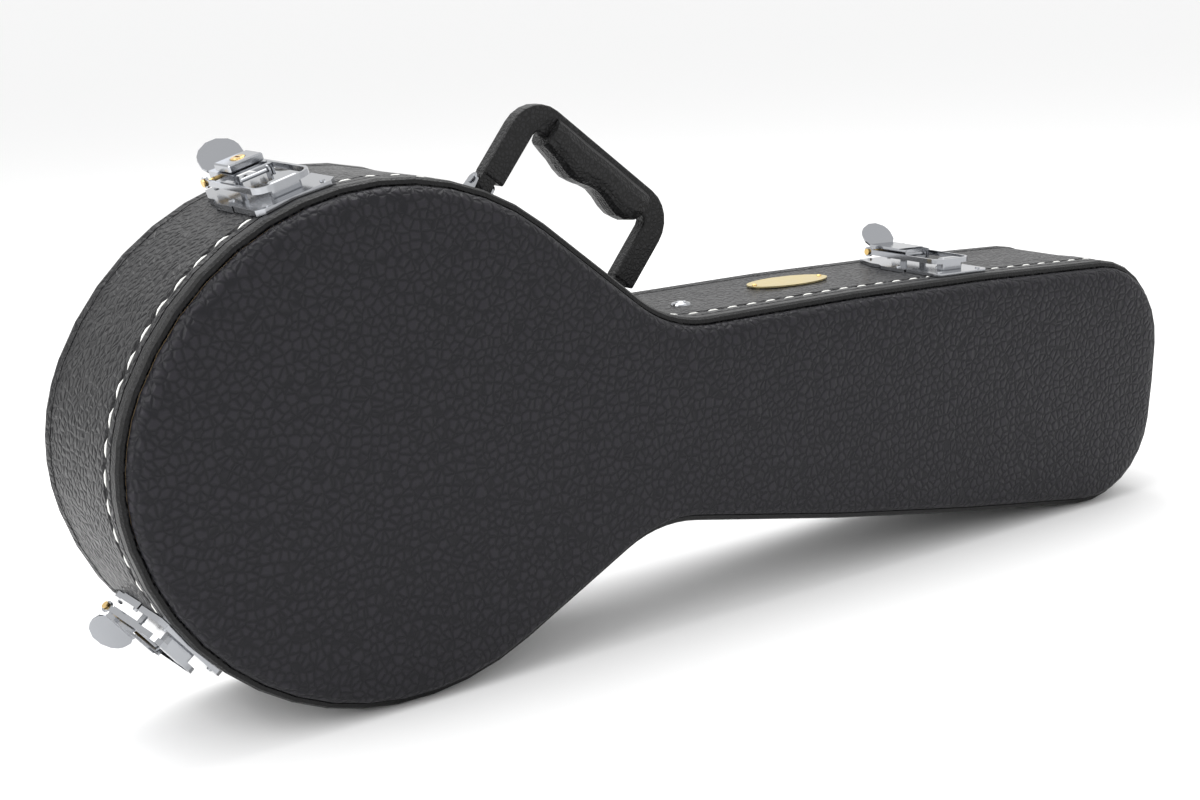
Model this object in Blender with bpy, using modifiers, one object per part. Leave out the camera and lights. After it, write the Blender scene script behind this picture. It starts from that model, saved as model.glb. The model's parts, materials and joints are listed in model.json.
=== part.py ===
# Hard case for a mandolin, standing on its hinge side with the handle up.
# Metres, +Z up. +X runs along the case to the head end, the lid faces -Y.
# Inside the case frame: X along the case, Y from the front groove to the back, Z across it.
import bpy
import bmesh
import math

# Outline of the front groove line
CASE_LENGTH = 0.780
BUTT_RADIUS = 0.111
BUTT_HALF_ANGLE = math.radians(21.0)
BOUT_RADIUS = 0.160
SHOULDER_ANGLE = math.radians(57.0)
WAIST_RADIUS = 0.083
HEAD_HALF_WIDTH = 0.085
HEAD_TAPER = 0.023
NECK_FLANK_RADIUS = 5.10
HEAD_CORNER_RADIUS = 0.059
HEAD_END_RADIUS = 0.540
ARC_ERROR = 0.0004
HOLLOW_ARC_ERROR = 0.00012

# Depths, front groove to back
LID_DEPTH = 0.038
BODY_DEPTH = 0.067
PANEL_CROWN = 0.009
BACK_THICKNESS = 0.011
BACK_EDGE_ROUND = 0.006
LID_BOARD_THICKNESS = 0.004

# Walls, linings and gaps
LID_PROUD = 0.0032
BODY_PROUD = 0.0024
PLY = 0.005
PLUSH = 0.003
BACK_PAD_THICKNESS = 0.006
LID_PAD_THICKNESS = 0.008
GAP = 0.0003
SEAM_GAP = 0.0006
GROOVE_WIDTH = 0.001
LIP_THICKNESS = 0.0015
LIP_STAND = 0.006
LIP_SEAT = 0.018

# Edge welt and saddle stitches
WELT_DEPTH = 0.009
WELT_THICKNESS = 0.0012
WELT_LIP_THICKNESS = 0.0012
WELT_INNER = 0.0002
STITCH_LINE = 0.0165
STITCH_GROOVE_WIDTH = 0.004
STITCH_GROOVE_DEPTH = 0.0014

# Draw latches, run measured along the groove line from the butt
LATCH_TOP_RUN = 0.174
LATCH_NECK_RUN = 0.683
LATCH_END_RUN = 0.108
PLATE_THICKNESS = 0.0022
PLATE_SINK = 0.004
PLATE_HALF_WIDTH = 0.024
PLATE_STEP_HALF_WIDTH = 0.0205
PLATE_TAIL_HALF_WIDTH = 0.0135
PLATE_LENGTH = 0.0545
PLATE_SEAM_OFFSET = 0.001
KEEPER_LENGTH = 0.0295
KEEPER_THICKNESS = 0.0018
KEEPER_CHAMFER = 0.004
BOSS_HALF_WIDTH = 0.0093
BOSS_LENGTH = 0.008
BOSS_FRONT = 0.018
BOSS_HEIGHT = 0.0105
PIVOT_BACK = 0.017
PIVOT_HEIGHT = 0.0088
PIVOT_TO_BAIL = 0.027
PIN_RADIUS = 0.0012
PIN_CLEARANCE = 0.0003
EAR_THICKNESS = 0.0012
EAR_RADIUS = 0.0026
LEVER_HALF_WIDTH = 0.011
LEVER_SHEET = 0.0012
LEVER_TOP = 0.0042
LEVER_SIDE_DROP = 0.0072
LEVER_NOSE = 0.0036
LEVER_SHEET_START = 0.0024
LEVER_TAIL = 0.0045
TAB_LENGTH = 0.016
TAB_HALF_WIDTH = 0.013
TAB_ANGLE = math.radians(52.0)
BAIL_HALF_WIDTH = 0.0168
BAIL_BAR = 0.0017
BAIL_BAR_HEIGHT = 0.0032
BAIL_CORNER = 0.009
BAIL_EYE_RADIUS = 0.0034
EYELET_RADIUS = 0.0022
EYELET_THICKNESS = 0.0010
RIVET_RADIUS = 0.0021
RIVET_TIP_RADIUS = 0.0013
RIVET_SINK = 0.0006
RIVET_HEAD_HEIGHT = 0.0009
LEVER_OPEN_ANGLE = 150.0

# Lock on the top latch
LOCK_LENGTH = 0.019
LOCK_HEIGHT = 0.0046
LOCK_HALF_WIDTH = 0.0105
KEY_PLUG_RADIUS = 0.0042
KEY_PLUG_PROUD = 0.0006
KEY_PLUG_DEPTH = 0.0030
KEYWAY_WIDTH = 0.0012

# Lid hinges on the floor line
HINGE_AXIS_HEIGHT = 0.0026
HINGE_BARREL_RADIUS = 0.0022
HINGE_PIN_RADIUS = 0.0009
HINGE_LEAF_WIDTH = 0.016
HINGE_LEAF_THICKNESS = 0.0012
BOUT_HINGE_LENGTH = 0.044
HEAD_HINGE_LENGTH = 0.030
HINGE_RELIEF = 0.0036

# Handle, its brackets and its pins
HANDLE_DEPTH = 0.068
HANDLE_START = -0.015
HANDLE_SPAN = 0.1325
HANDLE_HEIGHT = 0.0795
HANDLE_LEG = 0.0165
HANDLE_TOP_BAR = 0.0165
HANDLE_THICKNESS = 0.010
HANDLE_CORNER = 0.023
HANDLE_INNER_CORNER = 0.005
HANDLE_AXIS_HEIGHT = 0.0158
HANDLE_FOOT_HEIGHT = 0.0060
HANDLE_TONGUE = 0.011
HANDLE_TONGUE_RADIUS = 0.0042
HANDLE_PIN_RADIUS = 0.0016
HANDLE_BRACKET_WIDTH = 0.022
HANDLE_BRACKET_SHEET = 0.0016
HANDLE_BRACKET_FOOT = 0.007
GRIP_LENGTH = 0.082
GRIP_HALF_THICKNESS = 0.0125
GRIP_HEIGHT = 0.023
GRIP_TOP_INSET = 0.0035
GRIP_WAVE = 0.0022
GRIP_WAVES = 2

# Badge, washer and screw on the neck wall
BADGE_RUN = 0.575
BADGE_DEPTH = 0.060
BADGE_LENGTH = 0.064
BADGE_WIDTH = 0.030
BADGE_THICKNESS = 0.0010
BADGE_PIN_RADIUS = 0.0018
BADGE_SHANK_RADIUS = 0.0011
BADGE_PIN_HEIGHT = 0.0006
BADGE_PIN_INSET = 0.0045
WASHER_RUN = 0.4765
WASHER_DEPTH = 0.0455
WASHER_RADIUS = 0.0062
WASHER_HEIGHT = 0.0016
SCREW_RADIUS = 0.0030
SCREW_HEIGHT = 0.0022

# Inside: rests and accessory compartment
NECK_REST_START = 0.290
NECK_REST_WIDTH = 0.030
NECK_REST_TOP = 0.050
NECK_NOTCH_RADIUS = 0.026
TAIL_PAD_LENGTH = 0.018
TAIL_PAD_HALF_WIDTH = 0.045
TAIL_PAD_TOP = 0.056
COMPARTMENT_LENGTH = 0.110
DIVIDER_THICKNESS = 0.006
COMPARTMENT_TOP = 0.058
COMPARTMENT_LID_THICKNESS = 0.005
COMPARTMENT_CLEARANCE = 0.0014
COMPARTMENT_PIN_RADIUS = 0.0010
COMPARTMENT_PIN_SEAT = 0.003
LEDGE_WIDTH = 0.005
LEDGE_THICKNESS = 0.004
PULL_TAB_WIDTH = 0.016
PULL_TAB_LENGTH = 0.018
PULL_TAB_THICKNESS = 0.0012

# Colours as red, green, blue, roughness and metallic
FINISHES = {
    "vinyl": (0.030, 0.030, 0.034, 0.55, 0.0),
    "panel_vinyl": (0.042, 0.040, 0.047, 0.58, 0.0),
    "welt_vinyl": (0.012, 0.012, 0.013, 0.45, 0.0),
    "plywood": (0.50, 0.36, 0.20, 0.70, 0.0),
    "plush": (0.09, 0.09, 0.10, 0.95, 0.0),
    "chrome": (0.78, 0.79, 0.80, 0.15, 1.0),
    "brass": (0.80, 0.58, 0.26, 0.28, 1.0),
    "handle": (0.022, 0.022, 0.024, 0.50, 0.0),
    "badge": (0.78, 0.70, 0.48, 0.32, 1.0),
    "leather": (0.05, 0.04, 0.04, 0.60, 0.0),
}

for old in list(bpy.data.objects):
    bpy.data.objects.remove(old, do_unlink=True)

PARTS = bpy.data.collections.new("mandolin_case")
CUTTERS = bpy.data.collections.new("cutters")
bpy.context.scene.collection.children.link(PARTS)
bpy.context.scene.collection.children.link(CUTTERS)


# Materials, one for each object
def finish(name, kind):
    red, green, blue, roughness, metallic = FINISHES[kind]
    material = bpy.data.materials.new(name)
    material.use_nodes = True
    shader = material.node_tree.nodes["Principled BSDF"]
    shader.inputs["Base Color"].default_value = (red, green, blue, 1.0)
    shader.inputs["Roughness"].default_value = roughness
    shader.inputs["Metallic"].default_value = metallic
    return material


def empty(name, parent=None, location=(0, 0, 0), turn=0.0):
    frame = bpy.data.objects.new(name, None)
    CUTTERS.objects.link(frame)
    frame.parent = parent
    frame.location = location
    frame.rotation_euler = (0.0, turn, 0.0)
    frame.hide_render = True
    return frame


# Turns the faces of each closed piece of a mesh outward
def face_outward(bm):
    bmesh.ops.recalc_face_normals(bm, faces=bm.faces)
    left = set(bm.faces)
    while left:
        piece = {left.pop()}
        front = list(piece)
        while front:
            face = front.pop()
            for edge in face.edges:
                for near in edge.link_faces:
                    if near not in piece:
                        piece.add(near)
                        front.append(near)
        left -= piece
        centre = next(iter(piece)).verts[0].co.copy()
        volume = 0.0
        for face in piece:
            volume += (face.calc_center_median() - centre).dot(face.normal) * face.calc_area()
        if volume < 0:
            bmesh.ops.reverse_faces(bm, faces=list(piece))


# A node of the part, or with kind None a cutter
def add(name, bm, kind, parent, location=(0, 0, 0), smooth=30.0):
    face_outward(bm)
    mesh = bpy.data.meshes.new(name)
    bm.to_mesh(mesh)
    bm.free()
    mesh.shade_smooth()
    mesh.set_sharp_from_angle(angle=math.radians(smooth))
    made = bpy.data.objects.new(name, mesh)
    made.parent = parent
    made.location = location
    if kind is None:
        CUTTERS.objects.link(made)
        made.hide_render = True
        made.display_type = "WIRE"
    else:
        PARTS.objects.link(made)
        mesh.materials.append(finish(name, kind))
    return made


def boolean(target, tool, operation="DIFFERENCE"):
    modifier = target.modifiers.new(tool.name, "BOOLEAN")
    modifier.operation = operation
    modifier.object = tool
    modifier.solver = "EXACT"
    return target


def bevel(target, width, segments=1, angle=40.0):
    modifier = target.modifiers.new("edges", "BEVEL")
    modifier.width = width
    modifier.segments = segments
    modifier.limit_method = "ANGLE"
    modifier.angle_limit = math.radians(angle)
    return target


# Plain shapes as bmeshes
def box(low, high, bm=None):
    bm = bm or bmesh.new()
    made = bmesh.ops.create_cube(bm, size=1.0)["verts"]
    for vert in made:
        for axis in range(3):
            middle = (low[axis] + high[axis]) / 2
            vert.co[axis] = middle + vert.co[axis] * (high[axis] - low[axis])
    return bm


def rod(radius, start, length, axis, sides=16, bm=None, tip_radius=None):
    bm = bm or bmesh.new()
    tip = radius if tip_radius is None else tip_radius
    made = bmesh.ops.create_cone(bm, cap_ends=True, segments=sides, radius1=radius,
                                 radius2=tip, depth=length)["verts"]
    for vert in made:
        x, y, z = vert.co
        along = z + length / 2
        if axis == "X":
            vert.co = (start[0] + along, start[1] + x, start[2] + y)
        elif axis == "Y":
            vert.co = (start[0] + y, start[1] + along, start[2] + x)
        else:
            vert.co = (start[0] + x, start[1] + y, start[2] + along)
    return bm


# A flat outline pushed along one axis; points are given in the other two axes
def prism(points, low, high, axis, bm=None):
    bm = bm or bmesh.new()
    order = {"X": lambda a, b, c: (c, a, b), "Y": lambda a, b, c: (a, c, b),
             "Z": lambda a, b, c: (a, b, c)}[axis]
    verts = [bm.verts.new(order(a, b, low)) for a, b in points]
    face = bm.faces.new(verts)
    pushed = bmesh.ops.extrude_face_region(bm, geom=[face])["geom"]
    step = order(0.0, 0.0, high - low)
    bmesh.ops.translate(bm, verts=[v for v in pushed if isinstance(v, bmesh.types.BMVert)], vec=step)
    return bm


def arc_points(centre, radius, start, stop, count):
    step = (stop - start) / count
    return [(centre[0] + radius * math.cos(start + step * k),
             centre[1] + radius * math.sin(start + step * k)) for k in range(count + 1)]


# Outline of the case: butt arc, bout arc, shoulder line, waist arc, neck flank, head corner, head end
def unit(angle):
    return math.cos(angle), math.sin(angle)


def crossing(centre_a, radius_a, centre_b, radius_b):
    dx = centre_b[0] - centre_a[0]
    dy = centre_b[1] - centre_a[1]
    apart = math.hypot(dx, dy)
    along = (radius_a ** 2 - radius_b ** 2 + apart ** 2) / (2 * apart)
    across = math.sqrt(max(radius_a ** 2 - along ** 2, 0.0))
    base = (centre_a[0] + along * dx / apart, centre_a[1] + along * dy / apart)
    choices = [(base[0] - side * across * dy / apart, base[1] + side * across * dx / apart)
               for side in (1, -1)]
    return max(choices, key=lambda point: point[0] + point[1])


def bearing(start, stop):
    return math.atan2(stop[1] - start[1], stop[0] - start[0])


PANEL_LENGTH = CASE_LENGTH - 2 * LID_PROUD
HEAD_END = PANEL_LENGTH - BUTT_RADIUS
BOUT_START = math.pi - BUTT_HALF_ANGLE
BOUT_CENTRE = tuple((BUTT_RADIUS - BOUT_RADIUS) * c for c in unit(BOUT_START))
FLANK_NORMAL = math.pi / 2 + math.atan(HEAD_TAPER)
FLANK_CENTRE = (HEAD_END - NECK_FLANK_RADIUS * math.cos(FLANK_NORMAL),
                HEAD_HALF_WIDTH - NECK_FLANK_RADIUS * math.sin(FLANK_NORMAL))
END_CENTRE = (HEAD_END - HEAD_END_RADIUS, 0.0)
CORNER_CENTRE = crossing(FLANK_CENTRE, NECK_FLANK_RADIUS - HEAD_CORNER_RADIUS,
                         END_CENTRE, HEAD_END_RADIUS - HEAD_CORNER_RADIUS)


def waist_centre():
    out = unit(SHOULDER_ANGLE)
    down = (out[1], -out[0])
    start = (BOUT_CENTRE[0] + (BOUT_RADIUS + WAIST_RADIUS) * out[0],
             BOUT_CENTRE[1] + (BOUT_RADIUS + WAIST_RADIUS) * out[1])
    dx = start[0] - FLANK_CENTRE[0]
    dy = start[1] - FLANK_CENTRE[1]
    half = dx * down[0] + dy * down[1]
    rest = dx * dx + dy * dy - (NECK_FLANK_RADIUS + WAIST_RADIUS) ** 2
    run = -half - math.sqrt(half * half - rest)
    if run < 0:
        run = -half + math.sqrt(half * half - rest)
    return (start[0] + run * down[0], start[1] + run * down[1]), run


WAIST_CENTRE, SHOULDER_LENGTH = waist_centre()
SHOULDER_START = (BOUT_CENTRE[0] + BOUT_RADIUS * math.cos(SHOULDER_ANGLE),
                  BOUT_CENTRE[1] + BOUT_RADIUS * math.sin(SHOULDER_ANGLE))
FLANK_START = bearing(FLANK_CENTRE, WAIST_CENTRE)
CORNER_START = bearing(FLANK_CENTRE, CORNER_CENTRE)
END_START = bearing(END_CENTRE, CORNER_CENTRE)

# Each arc: centre, radius, start angle, stop angle, +1 where it bulges out and -1 where it is hollow
ARCS = [
    ((0.0, 0.0), BUTT_RADIUS, math.pi, BOUT_START, 1),
    (BOUT_CENTRE, BOUT_RADIUS, BOUT_START, SHOULDER_ANGLE, 1),
    (WAIST_CENTRE, WAIST_RADIUS, SHOULDER_ANGLE - math.pi, FLANK_START - math.pi, -1),
    (FLANK_CENTRE, NECK_FLANK_RADIUS, FLANK_START, CORNER_START, 1),
    (CORNER_CENTRE, HEAD_CORNER_RADIUS, CORNER_START, END_START, 1),
    (END_CENTRE, HEAD_END_RADIUS, END_START, 0.0, 1),
]


# Closed outline at a distance outside the groove line, the same number of points for any distance
def outline(offset):
    half = []
    for centre, radius, start, stop, side in ARCS:
        step = 2 * math.acos(1 - (ARC_ERROR if side > 0 else HOLLOW_ARC_ERROR) / radius)
        count = max(1, math.ceil(abs(stop - start) / step))
        points = arc_points(centre, radius + side * offset, start, stop, count)
        if half and math.dist(half[-1], points[0]) < ARC_ERROR:
            points = points[1:]
        half += points
    return half + [(x, -y) for x, y in reversed(half[1:-1])]


# Point and outward direction at a run along the groove line from the butt
def station(run, side=1):
    left = run
    for index, (centre, radius, start, stop, bulge) in enumerate(ARCS):
        length = abs(stop - start) * radius
        if index == 2:
            if left <= SHOULDER_LENGTH:
                out = unit(SHOULDER_ANGLE)
                point = (SHOULDER_START[0] + left * out[1], SHOULDER_START[1] - left * out[0])
                return (point[0], side * point[1]), (out[0], side * out[1])
            left -= SHOULDER_LENGTH
        if left <= length:
            angle = start + (stop - start) * left / length
            ray = unit(angle)
            point = (centre[0] + radius * ray[0], centre[1] + radius * ray[1])
            return (point[0], side * point[1]), (bulge * ray[0], side * bulge * ray[1])
        left -= length
    return (HEAD_END, 0.0), (1.0, 0.0)


def neck_half_width(x):
    return FLANK_CENTRE[1] + math.sqrt(NECK_FLANK_RADIUS ** 2 - (x - FLANK_CENTRE[0]) ** 2)


# A profile of (distance outside the groove line, depth) carried round the outline
def swept(profile, closed=True, bm=None):
    bm = bm or bmesh.new()
    rows = []
    for offset, depth in profile:
        rows.append([bm.verts.new((x, depth, z)) for x, z in outline(offset)])
    pairs = list(zip(rows, rows[1:]))
    if closed:
        pairs.append((rows[-1], rows[0]))
    for first, second in pairs:
        count = len(first)
        for k in range(count):
            after = (k + 1) % count
            bm.faces.new((first[k], first[after], second[after], second[k]))
    if not closed:
        bm.faces.new(rows[0])
        bm.faces.new(rows[-1])
    return bm


# A strip that follows the wall between two runs
def wall_strip(start, stop, inner, outer, front, back, side=1, count=6, bm=None):
    bm = bm or bmesh.new()
    rows = []
    for k in range(count + 1):
        (x, z), (nx, nz) = station(start + (stop - start) * k / count, side)
        row = [bm.verts.new((x + nx * off, depth, z + nz * off))
               for off, depth in ((inner, front), (outer, front), (outer, back), (inner, back))]
        rows.append(row)
    for first, second in zip(rows, rows[1:]):
        for k in range(4):
            bm.faces.new((first[k], first[(k + 1) % 4], second[(k + 1) % 4], second[k]))
    bm.faces.new(rows[0])
    bm.faces.new(rows[-1])
    return bm


# The case stands on the line that touches the bout and the head corner
FLOOR_BOUT = (BOUT_CENTRE[0], -BOUT_CENTRE[1])
FLOOR_HEAD = (CORNER_CENTRE[0], -CORNER_CENTRE[1])
TILT = (bearing(FLOOR_BOUT, FLOOR_HEAD)
        + math.asin((BOUT_RADIUS - HEAD_CORNER_RADIUS) / math.dist(FLOOR_BOUT, FLOOR_HEAD)))


def stood(point):
    x, z = point
    return (x * math.cos(TILT) + z * math.sin(TILT), -x * math.sin(TILT) + z * math.cos(TILT))


FLOOR = stood(FLOOR_BOUT)[1] - BOUT_RADIUS - LID_PROUD
LEFT = -BUTT_RADIUS - LID_PROUD
RIGHT = stood(CORNER_CENTRE)[0] + HEAD_CORNER_RADIUS + LID_PROUD
SEAM = LID_DEPTH
BACK = LID_DEPTH + BODY_DEPTH

CASE = empty("case_frame", None, (-(LEFT + RIGHT) / 2, (PANEL_CROWN - BACK) / 2, -FLOOR), TILT)


# Where a stood-up point lies in the case frame
def floor_point(world_x, height):
    z = height + FLOOR
    return (world_x * math.cos(TILT) - z * math.sin(TILT), world_x * math.sin(TILT) + z * math.cos(TILT))


BOUT_TOUCH = stood(FLOOR_BOUT)[0]
HEAD_TOUCH = stood(FLOOR_HEAD)[0]
AXIS_X, AXIS_Z = floor_point(BOUT_TOUCH, HINGE_AXIS_HEIGHT)
LID_PIVOT = (AXIS_X, SEAM, AXIS_Z)
LID = empty("lid_axis", CASE, LID_PIVOT)
LID_SHIFT = tuple(-c for c in LID_PIVOT)


# Body half: wall, back, linings and locating lip
def body_shell():
    inner = BODY_PROUD - PLY
    front = SEAM + SEAM_GAP / 2
    board = BACK - BACK_THICKNESS
    wall = add("body_wall", swept([(BODY_PROUD, front), (BODY_PROUD, board - GAP),
                                   (inner, board - GAP), (inner, front)]), "vinyl", CASE)
    edge = LID_PROUD
    rows = [(edge - 0.1 * BACK_EDGE_ROUND, board)]
    for k in range(4):
        angle = math.radians(30.0) * k
        rows.append((edge - BACK_EDGE_ROUND * (1 - math.cos(angle)),
                     BACK - BACK_EDGE_ROUND * (1 - math.sin(angle))))
    add("back_panel", swept(rows, closed=False), "vinyl", CASE)
    lining = inner - GAP
    add("body_lining", swept([(lining, front), (lining, board - GAP), (lining - PLUSH, board - GAP),
                              (lining - PLUSH, front)]), "plush", CASE)
    pad = lining - PLUSH - GAP
    add("back_pad", swept([(pad, board - GAP), (pad, board - GAP - BACK_PAD_THICKNESS)], closed=False),
        "plush", CASE)
    lip = pad
    add("locating_lip", swept([(lip, SEAM - LIP_STAND), (lip, SEAM + LIP_SEAT),
                               (lip - LIP_THICKNESS, SEAM + LIP_SEAT),
                               (lip - LIP_THICKNESS, SEAM - LIP_STAND)]), "plush", CASE)
    return wall


# Lid half: wall, board, padded panel, welt, stitches and linings
def lid_shell():
    inner = LID_PROUD - PLY
    back = SEAM - SEAM_GAP / 2
    front = WELT_LIP_THICKNESS + GAP
    seat = LID_PROUD - WELT_THICKNESS - GAP
    half_groove = STITCH_GROOVE_WIDTH / 2
    wall = add("lid_wall", swept([(inner, front), (inner, back), (LID_PROUD, back),
                                  (LID_PROUD, STITCH_LINE + half_groove),
                                  (LID_PROUD - STITCH_GROOVE_DEPTH, STITCH_LINE),
                                  (LID_PROUD, STITCH_LINE - half_groove),
                                  (LID_PROUD, WELT_DEPTH + GAP), (seat, WELT_DEPTH + GAP),
                                  (seat, front)]), "vinyl", LID, LID_SHIFT)
    bead = LID_PROUD - WELT_THICKNESS
    add("edge_welt", swept([(bead, WELT_DEPTH), (LID_PROUD, WELT_DEPTH * 0.9), (LID_PROUD, WELT_THICKNESS * 2),
                            (bead, WELT_LIP_THICKNESS * 0.3), (-WELT_INNER, 0.0),
                            (-WELT_INNER, WELT_LIP_THICKNESS), (bead, WELT_LIP_THICKNESS)]),
        "welt_vinyl", LID, LID_SHIFT)
    edge = -WELT_INNER - GROOVE_WIDTH
    seat_depth = WELT_LIP_THICKNESS
    crown = PANEL_CROWN
    add("lid_panel", swept([(edge - 0.0018, seat_depth), (edge, seat_depth / 2), (edge, -0.22 * crown),
                            (edge - 0.0012, -0.55 * crown), (edge - 0.004, -0.80 * crown),
                            (edge - 0.011, -0.93 * crown), (edge - 0.024, -crown)], closed=False),
        "panel_vinyl", LID, LID_SHIFT, 50.0)
    board = inner - GAP
    add("lid_board", swept([(board, front), (board, front + LID_BOARD_THICKNESS)], closed=False),
        "plywood", LID, LID_SHIFT)
    lining_front = front + LID_BOARD_THICKNESS + GAP
    lining = inner - GAP
    add("lid_lining", swept([(lining, lining_front), (lining, back), (lining - PLUSH, back),
                             (lining - PLUSH, lining_front)]), "plush", LID, LID_SHIFT)
    pad = lining - PLUSH - GAP
    add("lid_pad", swept([(pad, lining_front), (pad, lining_front + LID_PAD_THICKNESS * 0.6),
                          (pad - LID_PAD_THICKNESS, lining_front + LID_PAD_THICKNESS)], closed=False),
        "plush", LID, LID_SHIFT)
    return wall


# Solids of the outside of each half, grown by the gap, that trim what sits on the curved walls
def wall_trimmers():
    body = add("body_trimmer", swept([(BODY_PROUD + GAP, SEAM - PLATE_LENGTH), (BODY_PROUD + GAP, BACK)],
                                     closed=False), None, CASE)
    lid = add("lid_trimmer", swept([(LID_PROUD + GAP, -PANEL_CROWN), (LID_PROUD + GAP, SEAM + BODY_DEPTH)],
                                   closed=False), None, CASE)
    return body, lid


# A low rivet head formed on a plate, along the local Z axis
def rivet_head(x, y, top, bm):
    return rod(RIVET_RADIUS, (x, y, top - RIVET_SINK), RIVET_SINK + RIVET_HEAD_HEIGHT, "Z", 8, bm,
               RIVET_TIP_RADIUS)


# A profile of (radius, run along the axis) turned round an axis, starting and ending on it
def turned(profile, start, axis, sides=12, bm=None):
    bm = bm or bmesh.new()
    spun = bmesh.new()
    verts = [spun.verts.new((radius, 0.0, along)) for radius, along in profile]
    edges = [spun.edges.new(pair) for pair in zip(verts, verts[1:])]
    if profile[0][0] > 0:
        edges.append(spun.edges.new((verts[-1], verts[0])))
    bmesh.ops.spin(spun, geom=verts + edges, cent=(0, 0, 0), axis=(0, 0, 1), angle=2 * math.pi, steps=sides)
    bmesh.ops.remove_doubles(spun, verts=spun.verts, dist=1e-6)
    bmesh.ops.dissolve_degenerate(spun, edges=spun.edges, dist=1e-7)
    order = {"X": lambda x, y, z: (z, x, y), "Y": lambda x, y, z: (y, z, x),
             "Z": lambda x, y, z: (x, y, z)}[axis]
    copied = {}
    for vert in spun.verts:
        moved = order(*vert.co)
        copied[vert] = bm.verts.new([a + b for a, b in zip(moved, start)])
    for face in spun.faces:
        bm.faces.new([copied[vert] for vert in face.verts])
    spun.free()
    return bm


# A bent strip along stations of (y, z, half width), with its thickness laid below the path
def strip(stations, thickness):
    bm = bmesh.new()
    rows = []
    for k, (y, z, half) in enumerate(stations):
        before = stations[max(k - 1, 0)]
        after = stations[min(k + 1, len(stations) - 1)]
        lean = math.atan2(after[1] - before[1], after[0] - before[0])
        down = (thickness * math.sin(lean), -thickness * math.cos(lean))
        rows.append([bm.verts.new(point) for point in
                     ((-half, y, z), (half, y, z), (half, y + down[0], z + down[1]),
                      (-half, y + down[0], z + down[1]))])
    for first, second in zip(rows, rows[1:]):
        for k in range(4):
            bm.faces.new((first[k], first[(k + 1) % 4], second[(k + 1) % 4], second[k]))
    bm.faces.new(rows[0])
    bm.faces.new(rows[-1])
    return bm


# A frame on the wall: local X along the wall, Y to the back, Z straight out of the body wall
def wall_frame(name, run, side, parent, shift=(0, 0, 0), proud=BODY_PROUD):
    (x, z), (nx, nz) = station(run, side)
    place = (x + nx * proud + shift[0], shift[1], z + nz * proud + shift[2])
    return empty(name, parent, place, math.atan2(nx, nz))


PIVOT_Y = SEAM + PIVOT_BACK
BASE_RIVETS = [(-0.0185, SEAM + 0.012), (0.0185, SEAM + 0.012),
               (-0.0090, SEAM + 0.050), (0.0090, SEAM + 0.050)]
KEEPER_RIVETS = [(-0.0175, 0.0125), (0.0175, 0.0125), (0.0, 0.0315)]
LATCHES = [("top", LATCH_TOP_RUN, 1), ("neck", LATCH_NECK_RUN, 1), ("end", LATCH_END_RUN, -1)]
HOLE_REACH = 0.030


# Stamped base plate with the lever's two ears
def latch_base(name, frame, trimmer):
    front = SEAM + PLATE_SEAM_OFFSET
    back = front + PLATE_LENGTH
    wide = PLATE_HALF_WIDTH
    half = [(wide, front), (wide, front + 0.022), (PLATE_STEP_HALF_WIDTH, front + 0.028),
            (PLATE_STEP_HALF_WIDTH, front + 0.036), (PLATE_TAIL_HALF_WIDTH, back)]
    points = half + [(-x, y) for x, y in reversed(half)]
    plate = add("latch_base_" + name, prism(points, -PLATE_SINK, PLATE_THICKNESS, "Z"), "chrome", frame)
    ear_out = LEVER_HALF_WIDTH - LEVER_SHEET - GAP
    ears = bmesh.new()
    foot = [(PIVOT_Y + EAR_RADIUS, PLATE_THICKNESS * 0.5)]
    crown = arc_points((PIVOT_Y, PIVOT_HEIGHT), EAR_RADIUS, 0.0, math.pi, 6)
    shape = foot + crown + [(PIVOT_Y - EAR_RADIUS, PLATE_THICKNESS * 0.5)]
    for side in (1, -1):
        inner, outer = sorted((side * ear_out, side * (ear_out - EAR_THICKNESS)))
        prism(shape, inner, outer, "X", ears)
    boolean(plate, add("ears_" + name, ears, None, frame), "UNION")
    hole = rod(PIN_RADIUS + PIN_CLEARANCE, (-HOLE_REACH, PIVOT_Y, PIVOT_HEIGHT), 2 * HOLE_REACH, "X", 10)
    boolean(plate, add("ear_hole_" + name, hole, None, frame))
    boolean(plate, trimmer)
    heads = bmesh.new()
    for x, y in BASE_RIVETS:
        rivet_head(x, y, PLATE_THICKNESS, heads)
    boolean(plate, add("base_rivets_" + name, heads, None, frame), "UNION")
    tip = LEVER_HALF_WIDTH + 0.0008
    add("lever_pin_" + name, turned([(0.0, -tip), (PIN_RADIUS, -tip), (PIN_RADIUS, tip), (0.0, tip)],
                                    (0.0, PIVOT_Y, PIVOT_HEIGHT), "X", 10), "chrome", frame)


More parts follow.
